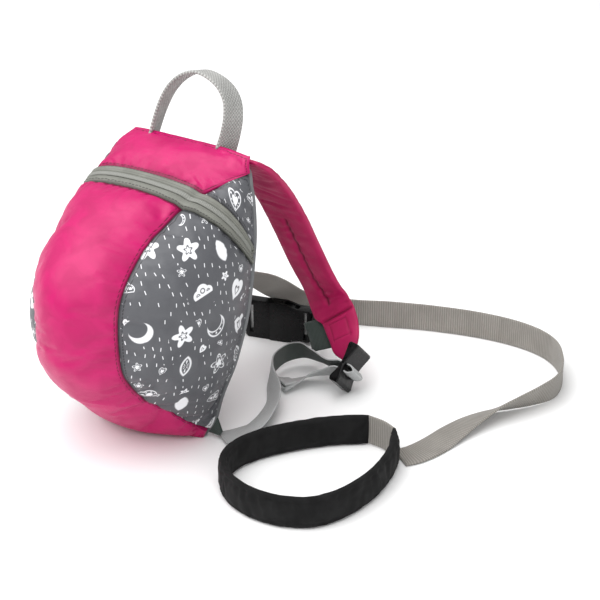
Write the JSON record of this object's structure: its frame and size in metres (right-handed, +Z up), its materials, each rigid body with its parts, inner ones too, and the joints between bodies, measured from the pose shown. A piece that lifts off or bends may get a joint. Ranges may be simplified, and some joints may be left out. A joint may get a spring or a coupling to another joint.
{
  "type": "toddler harness backpack",
  "caption": "Small stuffed backpack with a curved front zip, padded shoulder straps, chest buckle, grab handle and a webbing leash ending in a padded wrist loop.",
  "frame": {"origin": "middle of the flat strip of the bag's base that stands on the floor, on the floor", "axes": "+Z up from the floor; +Y towards the wearer's side, where the straps and the leash lie; -Y towards the zip and the front; the bag leans back towards +Y by 14 degrees"},
  "size_m": [0.3797, 0.3779, 0.2755],
  "materials": {
    "pink_nylon": "smooth nylon with a soft sheen",
    "grey_print": "smooth grey nylon with a small white print",
    "grey_nylon": "plain grey nylon",
    "grey_webbing": "ribbed woven webbing",
    "dark_webbing": "ribbed woven webbing",
    "black_cloth": "matt padded cloth",
    "black_plastic": "moulded, slightly glossy",
    "zip_coil": "nylon coil"
  },
  "bodies": {
    "root": {"back_panel": "grey_nylon", "front_panel": "pink_nylon", "side_panel_right": "grey_print", "side_panel_left": "grey_print", "side_top_right": "grey_print", "side_top_left": "grey_print", "top_panel": "pink_nylon", "zip_band": "grey_nylon", "zip_coil": "zip_coil", "zip_slider": "black_plastic", "grab_handle": "grey_webbing", "shoulder_strap_right": "pink_nylon", "shoulder_strap_left": "pink_nylon", "ladder_lock_right": "black_plastic", "ladder_lock_left": "black_plastic", "corner_tab_right": "dark_webbing", "corner_tab_left": "dark_webbing", "strap_webbing_right": "grey_webbing", "strap_webbing_left": "grey_webbing", "buckle_female": "black_plastic", "buckle_male": "black_plastic", "chest_web_right": "dark_webbing", "chest_web_left": "dark_webbing", "leash_patch": "grey_webbing", "leash": "grey_webbing", "wrist_loop_pad": "black_cloth", "wrist_loop_web": "grey_webbing"}
  },
  "joints": []
}
